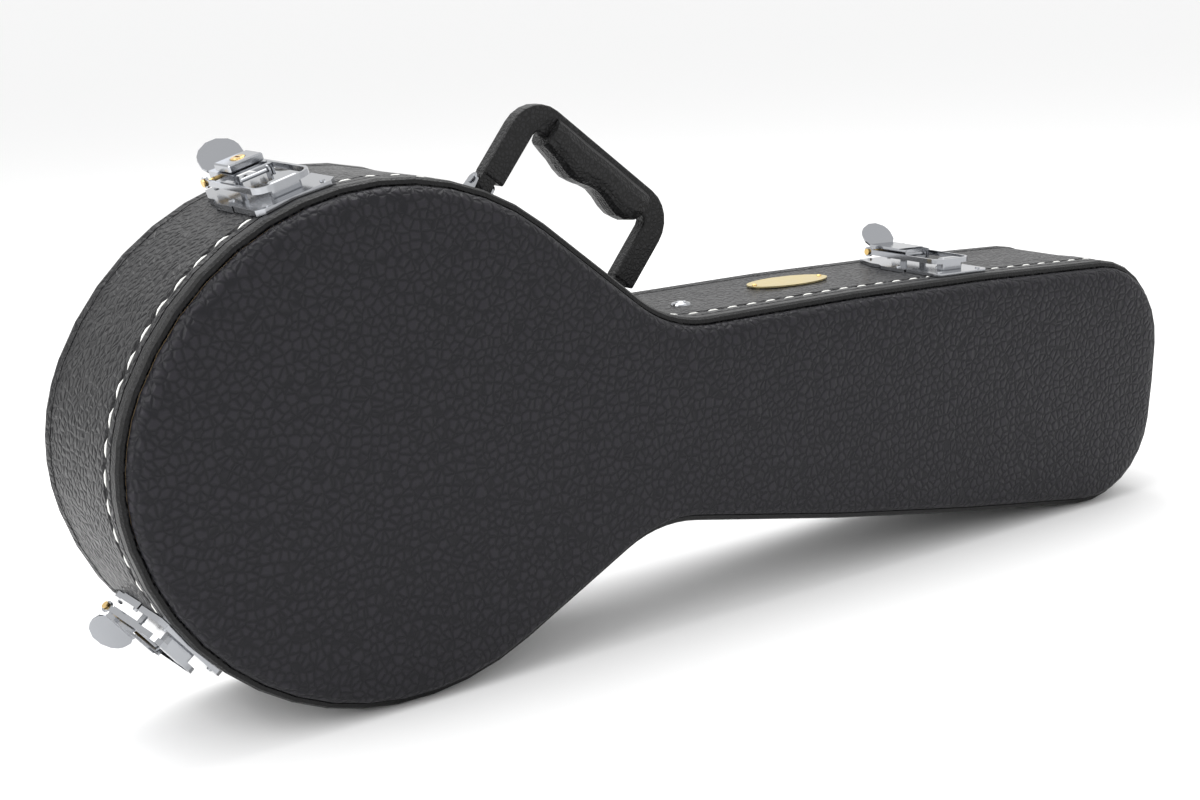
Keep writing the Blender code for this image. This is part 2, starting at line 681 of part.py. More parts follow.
# Keeper plate with the boss that the bail hooks behind, on the lid
def latch_keeper(name, frame, trimmer):
    back = SEAM - PLATE_SEAM_OFFSET
    front = back - KEEPER_LENGTH
    wide = PLATE_HALF_WIDTH
    cut = KEEPER_CHAMFER
    half = [(wide - cut, front), (wide, front + cut), (wide, back)]
    points = half + [(-x, y) for x, y in reversed(half)]
    top = LID_PROUD - BODY_PROUD + KEEPER_THICKNESS
    plate = add("latch_keeper_" + name, prism(points, -PLATE_SINK, top, "Z"), "chrome", frame)
    boss = prism([(-BOSS_HALF_WIDTH, BOSS_FRONT), (BOSS_HALF_WIDTH, BOSS_FRONT),
                  (BOSS_HALF_WIDTH * 0.8, BOSS_FRONT + BOSS_LENGTH),
                  (-BOSS_HALF_WIDTH * 0.8, BOSS_FRONT + BOSS_LENGTH)], top * 0.5, BOSS_HEIGHT, "Z")
    tool = add("boss_" + name, boss, None, frame)
    bevel(tool, 0.0018, 2, 30.0)
    boolean(plate, tool, "UNION")
    boolean(plate, trimmer)
    heads = bmesh.new()
    for x, y in KEEPER_RIVETS:
        rivet_head(x, y, top, heads)
    boolean(plate, add("keeper_rivets_" + name, heads, None, frame), "UNION")


# Lever with its thumb tab, turning on the ears; its pin carries the bail
def latch_lever(name, frame):
    axis = empty("lever_axis_" + name, frame, (0.0, PIVOT_Y, PIVOT_HEIGHT))
    tail = PIVOT_TO_BAIL + LEVER_TAIL
    stations = [(LEVER_SHEET_START, LEVER_TOP, LEVER_HALF_WIDTH), (tail, LEVER_TOP, LEVER_HALF_WIDTH)]
    for k in range(1, 7):
        along = TAB_LENGTH * k / 6
        round_off = max((k / 6 - 0.4) / 0.62, 0.0)
        half = TAB_HALF_WIDTH * math.sqrt(1 - round_off ** 2)
        stations.append((tail + along * math.cos(TAB_ANGLE), LEVER_TOP + along * math.sin(TAB_ANGLE), half))
    lever = add("lever_" + name, strip(stations, LEVER_SHEET), "chrome", axis)
    sides = bmesh.new()
    for side in (1, -1):
        inner, outer = sorted((side * LEVER_HALF_WIDTH * 0.998, side * (LEVER_HALF_WIDTH - LEVER_SHEET)))
        box((inner, -LEVER_NOSE, LEVER_TOP - LEVER_SIDE_DROP),
            (outer, tail * 0.99, LEVER_TOP - LEVER_SHEET * 0.4), sides)
    boolean(lever, add("sides_" + name, sides, None, axis), "UNION")
    holes = bmesh.new()
    for y in (0.0, PIVOT_TO_BAIL):
        rod(PIN_RADIUS + PIN_CLEARANCE, (-HOLE_REACH, y, 0.0), 2 * HOLE_REACH, "X", 10, holes)
    boolean(lever, add("lever_holes_" + name, holes, None, axis))
    tip = BAIL_HALF_WIDTH + GAP
    end = tip + EYELET_THICKNESS
    add("bail_pin_" + name, turned([(0.0, -end), (EYELET_RADIUS, -end), (EYELET_RADIUS, -tip),
                                    (PIN_RADIUS, -tip), (PIN_RADIUS, tip), (EYELET_RADIUS, tip),
                                    (EYELET_RADIUS, end), (0.0, end)],
                                   (0.0, PIVOT_TO_BAIL, 0.0), "X", 10), "brass", axis)
    latch_bail(name, axis)
    return axis


# Bail: a flat bar bent into a U, turning on the lever's tail pin
def latch_bail(name, lever_axis):
    axis = empty("bail_axis_" + name, lever_axis, (0.0, PIVOT_TO_BAIL, 0.0))
    reach = PIVOT_Y + PIVOT_TO_BAIL - (BOSS_FRONT - GAP - BAIL_BAR)
    outer = bail_corner(BAIL_HALF_WIDTH, reach, BAIL_CORNER)
    inner = bail_corner(BAIL_HALF_WIDTH - BAIL_BAR, reach - BAIL_BAR, BAIL_CORNER - BAIL_BAR)
    shape = outer + list(reversed(inner))
    bail = add("bail_" + name, prism(shape, -BAIL_BAR_HEIGHT / 2, BAIL_BAR_HEIGHT / 2, "Z"), "chrome", axis)
    eyes = bmesh.new()
    for side in (1, -1):
        start = min(side * BAIL_HALF_WIDTH, side * (BAIL_HALF_WIDTH - BAIL_BAR))
        rod(BAIL_EYE_RADIUS, (start, 0.0, 0.0), BAIL_BAR, "X", 12, eyes)
    boolean(bail, add("eyes_" + name, eyes, None, axis), "UNION")
    hole = rod(PIN_RADIUS + PIN_CLEARANCE, (-HOLE_REACH, 0.0, 0.0), 2 * HOLE_REACH, "X", 10)
    boolean(bail, add("eye_hole_" + name, hole, None, axis))


def bail_corner(half, reach, radius):
    right = [(half, 0.0)] + [(half - radius + radius * math.cos(a), -reach + radius - radius * math.sin(a))
                             for a in (math.pi / 2 * k / 4 for k in range(5))]
    return right + [(-x, y) for x, y in reversed(right)]


# Lock case on the top lever, with a key plug that turns in it
def latch_lock(axis):
    low = LEVER_TOP + GAP
    high = low + LOCK_HEIGHT
    front = LEVER_NOSE
    middle = front + LOCK_LENGTH / 2
    case = add("lock_case", box((-LOCK_HALF_WIDTH, front, low), (LOCK_HALF_WIDTH, front + LOCK_LENGTH, high)),
               "chrome", axis)
    bevel(case, 0.0008, 1)
    well = rod(KEY_PLUG_RADIUS + PIN_CLEARANCE, (0.0, middle, high - KEY_PLUG_DEPTH - GAP), LOCK_HEIGHT, "Z", 20)
    boolean(case, add("lock_well", well, None, axis))
    plug_axis = empty("key_axis", axis, (0.0, middle, high - KEY_PLUG_DEPTH))
    rise = KEY_PLUG_DEPTH + KEY_PLUG_PROUD
    plug = add("key_plug", turned([(0.0, 0.0), (KEY_PLUG_RADIUS, 0.0), (KEY_PLUG_RADIUS, rise - 0.0005),
                                   (KEY_PLUG_RADIUS - 0.0005, rise), (0.0, rise)], (0, 0, 0), "Z", 20),
               "brass", plug_axis)
    keyway = box((-KEYWAY_WIDTH / 2, -KEY_PLUG_RADIUS * 0.6, rise - 0.0016),
                 (KEYWAY_WIDTH / 2, KEY_PLUG_RADIUS * 0.6, rise + 0.001))
    boolean(plug, add("keyway", keyway, None, plug_axis))


def latches():
    body_trimmer, lid_trimmer = wall_trimmers()
    for name, run, side in LATCHES:
        frame = wall_frame("latch_" + name, run, side, CASE)
        latch_base(name, frame, body_trimmer)
        axis = latch_lever(name, frame)
        if name == "top":
            latch_lock(axis)
        latch_keeper(name, wall_frame("keeper_" + name, run, side, LID, LID_SHIFT), lid_trimmer)


# Copies a local wall-frame mesh into the case frame
def put_on_wall(local, run, side, bm, depth=0.0):
    (x, z), (nx, nz) = station(run, side)
    copied = {}
    for vert in local.verts:
        a, b, c = vert.co
        out = c + BODY_PROUD
        copied[vert] = bm.verts.new((x + nz * a + nx * out, b + depth, z - nx * a + nz * out))
    for face in local.faces:
        bm.faces.new([copied[vert] for vert in face.verts])
    local.free()


# Hinge let into both walls where the case touches the floor line
def lid_hinge(name, touch, length, wall_radius, body_wall, lid_wall):
    x, z = floor_point(touch, 0.0)
    frame = empty("hinge_" + name, CASE, (x, SEAM, z), -TILT)
    lid_frame = empty("hinge_lid_" + name, LID, (x - LID_PIVOT[0], 0.0, z - LID_PIVOT[2]), -TILT)
    half = length / 2
    axis = HINGE_AXIS_HEIGHT
    low = axis - HINGE_LEAF_THICKNESS / 2
    high = axis + HINGE_LEAF_THICKNESS / 2
    near = HINGE_BARREL_RADIUS + GAP + PIN_CLEARANCE
    pocket = box((-half - GAP, -HINGE_LEAF_WIDTH - GAP, -axis), (half + GAP, HINGE_LEAF_WIDTH + GAP, high + GAP))
    reach = math.sqrt(2 * (wall_radius + LID_PROUD) * axis) + HINGE_LEAF_THICKNESS
    corner = box((-reach, -HINGE_RELIEF, -axis), (reach, HINGE_RELIEF, axis))
    bore = rod(near, (-half - GAP, 0.0, axis), length + 2 * GAP, "X", 16)
    tools = [add("pocket_" + name, pocket, None, frame), add("corner_" + name, corner, None, frame),
             add("bore_" + name, bore, None, frame)]
    for wall in (body_wall, lid_wall):
        for tool in tools:
            boolean(wall, tool)
    third = length / 3
    pieces = [("body", frame, 1, ((-half, -half + third - GAP / 2), (half - third + GAP / 2, half))),
              ("lid", lid_frame, -1, ((-half + third + GAP / 2, half - third - GAP / 2),))]
    for half_name, parent, side, knuckles in pieces:
        inner, outer = sorted((side * near, side * HINGE_LEAF_WIDTH))
        leaf = add(f"hinge_leaf_{half_name}_{name}", box((-half, inner, low), (half, outer, high)),
                   "chrome", parent)
        webs = bmesh.new()
        rolls = bmesh.new()
        for start, stop in knuckles:
            inner, outer = sorted((0.0, side * (near + HINGE_LEAF_THICKNESS)))
            box((start, inner, low + GAP / 10), (stop, outer, high - GAP / 10), webs)
            rod(HINGE_BARREL_RADIUS, (start, 0.0, axis), stop - start, "X", 12, rolls)
        boolean(leaf, add(f"webs_{half_name}_{name}", webs, None, parent), "UNION")
        boolean(leaf, add(f"rolls_{half_name}_{name}", rolls, None, parent), "UNION")
        holes = rod(HINGE_PIN_RADIUS + PIN_CLEARANCE, (-length, 0.0, axis), 2 * length, "X", 8)
        boolean(leaf, add(f"holes_{half_name}_{name}", holes, None, parent))
    add("hinge_pin_" + name, turned([(0.0, -half), (HINGE_PIN_RADIUS, -half), (HINGE_PIN_RADIUS, half),
                                     (0.0, half)], (0.0, 0.0, axis), "X", 10), "chrome", frame)


SHOULDER_RUN = sum(abs(stop - start) * radius for _, radius, start, stop, _ in ARCS[:2])
HANDLE_TURN = math.pi / 2 - SHOULDER_ANGLE
HANDLE_FRAME = empty("handle_frame", CASE, (SHOULDER_START[0], HANDLE_DEPTH, SHOULDER_START[1]), HANDLE_TURN)
HANDLE_AXIS = empty("handle_axis", HANDLE_FRAME, (0.0, 0.0, HANDLE_AXIS_HEIGHT))


# Height of the body wall above the shoulder line at a place along it
def wall_height(x):
    if x < 0:
        bulge = BOUT_RADIUS + BODY_PROUD
        return BODY_PROUD - bulge + math.sqrt(bulge ** 2 - x ** 2)
    if x > SHOULDER_LENGTH:
        hollow = WAIST_RADIUS - BODY_PROUD
        return BODY_PROUD + hollow - math.sqrt(hollow ** 2 - (x - SHOULDER_LENGTH) ** 2)
    return BODY_PROUD


# Handle: a stitched strap bent into an arch, with two tongues on the pins and a moulded grip
def handle():
    left = HANDLE_START
    right = HANDLE_START + HANDLE_SPAN
    top = HANDLE_HEIGHT - HANDLE_AXIS_HEIGHT
    foot = HANDLE_FOOT_HEIGHT
    under = top - HANDLE_TOP_BAR
    bend = HANDLE_CORNER
    turn = HANDLE_INNER_CORNER
    in_left = left + HANDLE_LEG
    in_right = right - HANDLE_LEG
    shape = [(left, foot)] + arc_points((left + bend, top - bend), bend, math.pi, math.pi / 2, 6)
    shape += arc_points((right - bend, top - bend), bend, math.pi / 2, 0.0, 6) + [(right, foot)]
    shape += [(in_right, foot)] + arc_points((in_right - turn, under - turn), turn, 0.0, math.pi / 2, 3)
    shape += arc_points((in_left + turn, under - turn), turn, math.pi / 2, math.pi, 3) + [(in_left, foot)]
    thick = HANDLE_THICKNESS / 2
    strap = add("handle_strap", prism(shape, -thick, thick, "Y"), "handle", HANDLE_AXIS)
    bevel(strap, 0.0014, 2)
    tongues = bmesh.new()
    radius = HANDLE_TONGUE_RADIUS
    rounded = arc_points((0.0, 0.0), radius, math.pi, 2 * math.pi, 8)
    profile = [(-radius, foot * 1.25)] + rounded + [(radius, foot * 1.25)]
    feet = (left, in_right)
    for start in feet:
        prism(profile, start + 0.0004, start + HANDLE_TONGUE, "X", tongues)
    boolean(strap, add("tongues", tongues, None, HANDLE_AXIS), "UNION")
    hole = rod(HANDLE_PIN_RADIUS + PIN_CLEARANCE, (left - HANDLE_LEG, 0.0, 0.0), HANDLE_SPAN * 1.4, "X", 12)
    boolean(strap, add("tongue_holes", hole, None, HANDLE_AXIS))
    grip(left + (HANDLE_SPAN - GRIP_LENGTH) / 2, top - GRIP_TOP_INSET, top, under)
    clear = PIN_CLEARANCE
    for name, start in (("bout", left), ("neck", in_right)):
        handle_bracket(name, start)
        out = start - clear - HANDLE_BRACKET_SHEET - clear
        end = start + HANDLE_TONGUE + clear + HANDLE_BRACKET_SHEET + clear
        thin = HANDLE_PIN_RADIUS
        wide = HANDLE_PIN_RADIUS * 1.7
        lip = HANDLE_PIN_RADIUS * 0.5
        pin = turned([(0.0, out - lip), (wide, out - lip), (wide, out), (thin, out), (thin, end), (wide, end),
                      (wide, end + lip), (0.0, end + lip)], (0, 0, 0), "X", 10)
        add("handle_pin_" + name, pin, "chrome", HANDLE_FRAME, (0.0, 0.0, HANDLE_AXIS_HEIGHT))


# Moulded grip under the strap, with a waved finger side
def grip(start, high, top, under):
    bm = bmesh.new()
    rows = []
    sections = 12
    around = 14
    for k in range(sections + 1):
        share = k / sections
        wave = GRIP_WAVE * math.cos(2 * math.pi * GRIP_WAVES * (share - 0.08))
        end = min(share, 1 - share) * sections
        slim = 0.86 if end < 0.5 else 1.0
        low = high - GRIP_HEIGHT * slim + wave * (slim == 1.0)
        middle = (high + low) / 2
        tall = (high - low) / 2
        row = []
        for j in range(around):
            angle = 2 * math.pi * (j + 0.5) / around
            y = math.copysign(abs(math.cos(angle)) ** 0.75, math.cos(angle))
            z = math.copysign(abs(math.sin(angle)) ** 0.75, math.sin(angle))
            row.append(bm.verts.new((start + GRIP_LENGTH * share, GRIP_HALF_THICKNESS * slim * y,
                                     middle + tall * z)))
        rows.append(row)
    for first, second in zip(rows, rows[1:]):
        for j in range(around):
            after = (j + 1) % around
            bm.faces.new((first[j], first[after], second[after], second[j]))
    bm.faces.new(rows[0])
    bm.faces.new(rows[-1])
    made = add("handle_grip", bm, "handle", HANDLE_AXIS, smooth=50.0)
    slot = HANDLE_THICKNESS / 2 + GAP
    channel = box((start - GRIP_LENGTH * 0.1, -slot, under - GAP), (start + GRIP_LENGTH * 1.1, slot, top * 1.2))
    boolean(made, add("grip_channel", channel, None, HANDLE_AXIS))


# Bracket: a strip on the wall with two ears that carry a handle pin
def handle_bracket(name, start):
    clear = PIN_CLEARANCE
    sheet = HANDLE_BRACKET_SHEET
    low = start - clear - sheet
    high = start + HANDLE_TONGUE + clear + sheet
    seat = BODY_PROUD + GAP
    half = HANDLE_BRACKET_WIDTH / 2
    foot = HANDLE_BRACKET_FOOT
    base = wall_strip(SHOULDER_RUN + low - foot, SHOULDER_RUN + high + foot, seat, seat + sheet,
                      HANDLE_DEPTH - half, HANDLE_DEPTH + half)
    bracket = add("handle_bracket_" + name, base, "chrome", CASE)
    ears = bmesh.new()
    crown = arc_points((0.0, HANDLE_AXIS_HEIGHT), HANDLE_PIN_RADIUS + 0.0029, 0.0, math.pi, 8)
    for near in (low, high - sheet):
        base_height = wall_height(near + sheet / 2) + GAP + sheet * 0.55
        prism([(half * 0.66, base_height)] + crown + [(-half * 0.66, base_height)], near, near + sheet, "X", ears)
    boolean(bracket, add("ears_" + name + "_bracket", ears, None, HANDLE_FRAME), "UNION")
    hole = rod(HANDLE_PIN_RADIUS + clear, (low - sheet, 0.0, HANDLE_AXIS_HEIGHT),
               high - low + 2 * sheet, "X", 12)
    boolean(bracket, add("hole_" + name + "_bracket", hole, None, HANDLE_FRAME))
    heads = bmesh.new()
    for run in (SHOULDER_RUN + low - foot / 2, SHOULDER_RUN + high + foot / 2):
        for y in (-half * 0.6, half * 0.6):
            put_on_wall(rivet_head(0.0, y, GAP + sheet, None), run, 1, heads, HANDLE_DEPTH)
    boolean(bracket, add("rivets_" + name + "_bracket", heads, None, CASE), "UNION")


# Oval badge on two pins, and a cup washer with its screw
def neck_fittings():
    frame = wall_frame("badge_frame", BADGE_RUN, 1, CASE)
    ring = [(BADGE_LENGTH / 2 * math.cos(a), BADGE_DEPTH + BADGE_WIDTH / 2 * math.sin(a))
            for a in (2 * math.pi * k / 28 for k in range(28))]
    badge = add("badge_plate", prism(ring, GAP, GAP + BADGE_THICKNESS, "Z"), "badge", frame)
    drilled = bmesh.new()
    seat = 2 * GAP + BADGE_THICKNESS
    crown = seat + BADGE_PIN_HEIGHT
    for name, side in (("right", 1), ("left", -1)):
        x = side * (BADGE_LENGTH / 2 - BADGE_PIN_INSET)
        rod(BADGE_SHANK_RADIUS + GAP, (x, BADGE_DEPTH, -GAP), BADGE_THICKNESS * 4, "Z", 8, drilled)
        pin = turned([(0.0, GAP), (BADGE_SHANK_RADIUS, GAP), (BADGE_SHANK_RADIUS, seat),
                      (BADGE_PIN_RADIUS, seat), (BADGE_SHANK_RADIUS, crown), (0.0, crown)],
                     (x, BADGE_DEPTH, 0.0), "Z", 8)
        add("badge_pin_" + name, pin, "brass", frame)
    boolean(badge, add("badge_drill", drilled, None, frame))
    frame = wall_frame("washer_frame", WASHER_RUN, 1, CASE)
    hole = SCREW_RADIUS + GAP
    add("cup_washer", turned([(hole, GAP), (WASHER_RADIUS, GAP), (WASHER_RADIUS * 0.92, GAP + WASHER_HEIGHT * 0.6),
                              (hole + 0.0006, GAP + WASHER_HEIGHT), (hole, GAP + WASHER_HEIGHT * 0.8)],
                             (0.0, WASHER_DEPTH, 0.0), "Z", 20), "chrome", frame)
    add("divider_screw", turned([(0.0, GAP), (SCREW_RADIUS, GAP), (SCREW_RADIUS, GAP + SCREW_HEIGHT * 0.7),
                                 (SCREW_RADIUS * 0.5, GAP + SCREW_HEIGHT), (0.0, GAP + SCREW_HEIGHT)],
                                (0.0, WASHER_DEPTH, 0.0), "Z", 16), "chrome", frame)


CAVITY_INSET = PLY - BODY_PROUD + 2 * GAP + PLUSH + LIP_THICKNESS
CAVITY_BACK = BACK - BACK_THICKNESS - 2 * GAP - BACK_PAD_THICKNESS - GAP
NECK_REST_END = NECK_REST_START + NECK_REST_WIDTH
DIVIDER_START = NECK_REST_END + COMPARTMENT_LENGTH


# A block across the neck that follows both walls
def cross_block(name, start, stop, front, kind):
    clear = CAVITY_INSET + COMPARTMENT_CLEARANCE
    first = neck_half_width(start) - clear
    last = neck_half_width(stop) - clear
    points = [(start, -first), (stop, -last), (stop, last), (start, first)]
    return add(name, prism(points, front, CAVITY_BACK, "Y"), kind, CASE)


# Padded rests for the instrument, and the accessory compartment with its lid
def inside():
    rest = cross_block("neck_rest", NECK_REST_START, NECK_REST_END, NECK_REST_TOP, "plush")
    notch = rod(NECK_NOTCH_RADIUS, (NECK_REST_START - 0.01, NECK_REST_TOP - NECK_NOTCH_RADIUS * 0.35, 0.0),
                NECK_REST_WIDTH + 0.02, "X", 20)
    boolean(rest, add("neck_notch", notch, None, CASE))
    divider = cross_block("compartment_divider", DIVIDER_START, DIVIDER_START + DIVIDER_THICKNESS,
                          NECK_REST_TOP, "plush")
    inner = BUTT_RADIUS - CAVITY_INSET - COMPARTMENT_CLEARANCE
    spread = math.asin(TAIL_PAD_HALF_WIDTH / inner)
    curve = arc_points((0.0, 0.0), inner, math.pi - spread, math.pi + spread, 8)
    flat = -inner * math.cos(spread) + TAIL_PAD_LENGTH
    pad = curve + [(flat, -TAIL_PAD_HALF_WIDTH), (flat, TAIL_PAD_HALF_WIDTH)]
    add("tail_pad", prism(pad, TAIL_PAD_TOP, CAVITY_BACK, "Y"), "plush", CASE)
    start = NECK_REST_END + COMPARTMENT_CLEARANCE
    stop = DIVIDER_START - COMPARTMENT_CLEARANCE
    half = neck_half_width(NECK_REST_END) - CAVITY_INSET - COMPARTMENT_CLEARANCE
    thick = COMPARTMENT_LID_THICKNESS
    hinge_y = COMPARTMENT_TOP - thick / 2
    hinge_z = -half + thick * 0.7
    axis = empty("compartment_axis", CASE, (NECK_REST_END, hinge_y, hinge_z))
    board = add("compartment_lid", box((COMPARTMENT_CLEARANCE, -thick / 2, -half - hinge_z),
                                       (stop - NECK_REST_END, thick / 2, half - hinge_z)), "plush", axis)
    seat = COMPARTMENT_PIN_RADIUS + PIN_CLEARANCE
    bore = rod(seat, (-COMPARTMENT_PIN_SEAT - GAP, 0.0, 0.0),
               COMPARTMENT_LENGTH + 2 * (COMPARTMENT_PIN_SEAT + GAP), "X", 10)
    tool = add("compartment_bore", bore, None, axis)
    for piece in (board, rest, divider):
        boolean(piece, tool)
    slim = COMPARTMENT_PIN_RADIUS
    first = -COMPARTMENT_PIN_SEAT
    last = COMPARTMENT_LENGTH + COMPARTMENT_PIN_SEAT
    add("compartment_pin", turned([(0.0, first), (slim, first), (slim, last), (0.0, last)], (0, 0, 0), "X", 10),
        "chrome", axis)
    under = COMPARTMENT_TOP + GAP
    span = half * 0.55
    for name, low, high in (("rest", NECK_REST_END + GAP, NECK_REST_END + LEDGE_WIDTH),
                            ("divider", DIVIDER_START - LEDGE_WIDTH, DIVIDER_START - GAP)):
        add("compartment_ledge_" + name, box((low, under, -span), (high, under + LEDGE_THICKNESS, span)),
            "plywood", CASE)
    middle = (start + stop) / 2 - NECK_REST_END
    edge = half - hinge_z
    face = -thick / 2 - GAP
    add("pull_tab", box((middle - PULL_TAB_WIDTH / 2, face - PULL_TAB_THICKNESS, edge - PULL_TAB_LENGTH),
                        (middle + PULL_TAB_WIDTH / 2, face, edge)), "leather", axis)


body_wall_piece = body_shell()
lid_wall_piece = lid_shell()
latches()
lid_hinge("bout", BOUT_TOUCH, BOUT_HINGE_LENGTH, BOUT_RADIUS, body_wall_piece, lid_wall_piece)
lid_hinge("head", HEAD_TOUCH, HEAD_HINGE_LENGTH, HEAD_CORNER_RADIUS, body_wall_piece, lid_wall_piece)
handle()
neck_fittings()
inside()
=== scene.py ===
# A mandolin case standing on its hinge side, on a white floor. Metres, +Z up.
import json
import math

import bpy
from mathutils import Matrix, Vector


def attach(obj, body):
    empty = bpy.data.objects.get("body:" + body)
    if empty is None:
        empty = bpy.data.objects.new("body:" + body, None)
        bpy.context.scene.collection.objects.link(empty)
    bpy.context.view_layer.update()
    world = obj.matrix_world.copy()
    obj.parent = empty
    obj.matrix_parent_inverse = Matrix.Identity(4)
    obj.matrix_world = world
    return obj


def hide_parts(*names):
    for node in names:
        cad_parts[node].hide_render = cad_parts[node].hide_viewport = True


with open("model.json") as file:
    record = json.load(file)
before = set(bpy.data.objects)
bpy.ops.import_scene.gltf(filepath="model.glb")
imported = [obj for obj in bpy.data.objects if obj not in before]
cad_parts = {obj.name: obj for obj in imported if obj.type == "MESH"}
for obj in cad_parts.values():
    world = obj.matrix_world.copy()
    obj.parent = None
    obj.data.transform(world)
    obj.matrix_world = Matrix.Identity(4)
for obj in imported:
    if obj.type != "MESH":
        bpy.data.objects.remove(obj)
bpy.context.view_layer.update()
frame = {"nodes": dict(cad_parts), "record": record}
print("frame loaded")

# How the case stands. Its own frame starts at the centre of the butt arc, on the front groove,
# with X along the case and Y to its back
caseFrame = {
    "place": (-0.27507, -0.048, 0.15062),
    "tilt": 0.10686,  # radians, head end down
}

# The camera, in the frame of the case
camera = {
    "place": (-0.4742, -0.8991, 0.2177),
    "turn": (1.7005, -0.5085, 0.4891),  # rotation vector, radians
    "lens": 58.83,  # mm
    "sensor": 36.0,  # mm
}


def addObject(name, data):
    made = bpy.data.objects.new(name, data)
    bpy.context.scene.collection.objects.link(made)
    return made


def placeCamera():
    turn = Vector(camera["turn"])
    right, down, ahead = Matrix.Rotation(turn.length, 3, turn)
    facing = Matrix((right, -down, -ahead)).transposed().to_4x4()
    case = Matrix.Translation(caseFrame["place"]) @ Matrix.Rotation(caseFrame["tilt"], 4, "Y")
    data = bpy.data.cameras.new("camera")
    data.lens = camera["lens"]
    data.sensor_width = camera["sensor"]
    made = addObject("camera", data)
    made.matrix_world = case @ Matrix.Translation(camera["place"]) @ facing
    bpy.context.scene.camera = made


# What all the finishes are made with
def newMaterial(name, color, roughness, metallic=0.0):
    material = bpy.data.materials.new(name)
    material.use_nodes = True
    shader = material.node_tree.nodes["Principled BSDF"]
    shader.inputs["Base Color"].default_value = (*color, 1.0)
    shader.inputs["Roughness"].default_value = roughness
    shader.inputs["Metallic"].default_value = metallic
    return material, material.node_tree, shader


def addNode(tree, kind, **values):
    node = tree.nodes.new(kind)
    for key, value in values.items():
        node.inputs[key].default_value = value
    return node


def addBump(tree, shader, height, strength, distance):
    bump = addNode(tree, "ShaderNodeBump", Strength=strength, Distance=distance)
    tree.links.new(height, bump.inputs["Height"])
    tree.links.new(bump.outputs["Normal"], shader.inputs["Normal"])


def varyRoughness(tree, shader, source, low, high):
    spread = addNode(tree, "ShaderNodeMapRange")
    spread.inputs["To Min"].default_value = low
    spread.inputs["To Max"].default_value = high
    tree.links.new(source, spread.inputs["Value"])
    tree.links.new(spread.outputs["Result"], shader.inputs["Roughness"])


# Pebbled vinyl: rounded cells with fine creases between them, and painted shade in the creases
grain = {
    "wander": 0.35,  # waves of the slow noise in one cell
    "wanderDetail": 3.0,
    "drift": 0.8,  # how far that noise shifts a cell, in cells
    "creaseWidth": 0.30,
    "specular": 0.22,
    "roughnessSpread": 0.08,
    "bump": 0.6,
}


def grainPattern(tree, cell):
    place = tree.nodes.new("ShaderNodeTexCoord")
    wander = addNode(tree, "ShaderNodeTexNoise", Scale=grain["wander"] / cell, Detail=grain["wanderDetail"])
    tree.links.new(place.outputs["Object"], wander.inputs["Vector"])
    drift = tree.nodes.new("ShaderNodeVectorMath")
    drift.operation = "MULTIPLY_ADD"
    drift.inputs[1].default_value = (cell * grain["drift"],) * 3
    tree.links.new(wander.outputs["Color"], drift.inputs[0])
    tree.links.new(place.outputs["Object"], drift.inputs[2])
    cells = addNode(tree, "ShaderNodeTexVoronoi", Scale=1 / cell)
    cells.feature = "DISTANCE_TO_EDGE"
    tree.links.new(drift.outputs["Vector"], cells.inputs["Vector"])
    crown = addNode(tree, "ShaderNodeMapRange")
    crown.interpolation_type = "SMOOTHSTEP"
    crown.inputs["From Max"].default_value = grain["creaseWidth"]
    tree.links.new(cells.outputs["Distance"], crown.inputs["Value"])
    return crown.outputs["Result"], wander.outputs["Fac"]


# Painted shade: a darker colour is mixed into the creases between the cells, where shade would fall
def paintCreaseShade(tree, shader, height, creaseShadeColor, color):
    shade = tree.nodes.new("ShaderNodeMix")
    shade.data_type = "RGBA"
    shade.inputs["A"].default_value = (*creaseShadeColor, 1.0)
    shade.inputs["B"].default_value = (*color, 1.0)
    tree.links.new(height, shade.inputs["Factor"])
    tree.links.new(shade.outputs["Result"], shader.inputs["Base Color"])


def grainedVinyl(name, color, creaseShadeColor, cell, depth, roughness):
    material, tree, shader = newMaterial(name, color, roughness)
    shader.inputs["Specular IOR Level"].default_value = grain["specular"]
    height, wander = grainPattern(tree, cell)
    paintCreaseShade(tree, shader, height, creaseShadeColor, color)
    spread = grain["roughnessSpread"]
    varyRoughness(tree, shader, wander, roughness - spread, roughness + spread)
    addBump(tree, shader, height, grain["bump"], depth)
    return material


# Metal with faint waves and a roughness that varies
metalWaves = {"detail": 4.0, "smoothest": 0.6, "roughest": 1.6, "bump": 0.08, "depth": 0.0004}


def metal(name, color, roughness, scale=60.0):
    material, tree, shader = newMaterial(name, color, roughness, 1.0)
    place = tree.nodes.new("ShaderNodeTexCoord")
    noise = addNode(tree, "ShaderNodeTexNoise", Scale=scale, Detail=metalWaves["detail"])
    tree.links.new(place.outputs["Object"], noise.inputs["Vector"])
    smoothest = roughness * metalWaves["smoothest"]
    varyRoughness(tree, shader, noise.outputs["Fac"], smoothest, roughness * metalWaves["roughest"])
    addBump(tree, shader, noise.outputs["Fac"], metalWaves["bump"], metalWaves["depth"])
    return material


# Short pile, thread or raw board, from noise at the scale of the fibre
fibreNoise = {"detail": 6.0, "roughnessSpread": 0.1, "bump": 0.5}


def fibre(name, color, roughness, scale, depth, stretch=(1.0, 1.0, 1.0)):
    material, tree, shader = newMaterial(name, color, roughness)
    place = tree.nodes.new("ShaderNodeTexCoord")
    mapping = addNode(tree, "ShaderNodeMapping", Scale=stretch)
    noise = addNode(tree, "ShaderNodeTexNoise", Scale=scale, Detail=fibreNoise["detail"])
    tree.links.new(place.outputs["Object"], mapping.inputs["Vector"])
    tree.links.new(mapping.outputs["Vector"], noise.inputs["Vector"])
    spread = fibreNoise["roughnessSpread"]
    varyRoughness(tree, shader, noise.outputs["Fac"], roughness - spread, min(roughness + spread, 1.0))
    addBump(tree, shader, noise.outputs["Fac"], fibreNoise["bump"], depth)
    return material


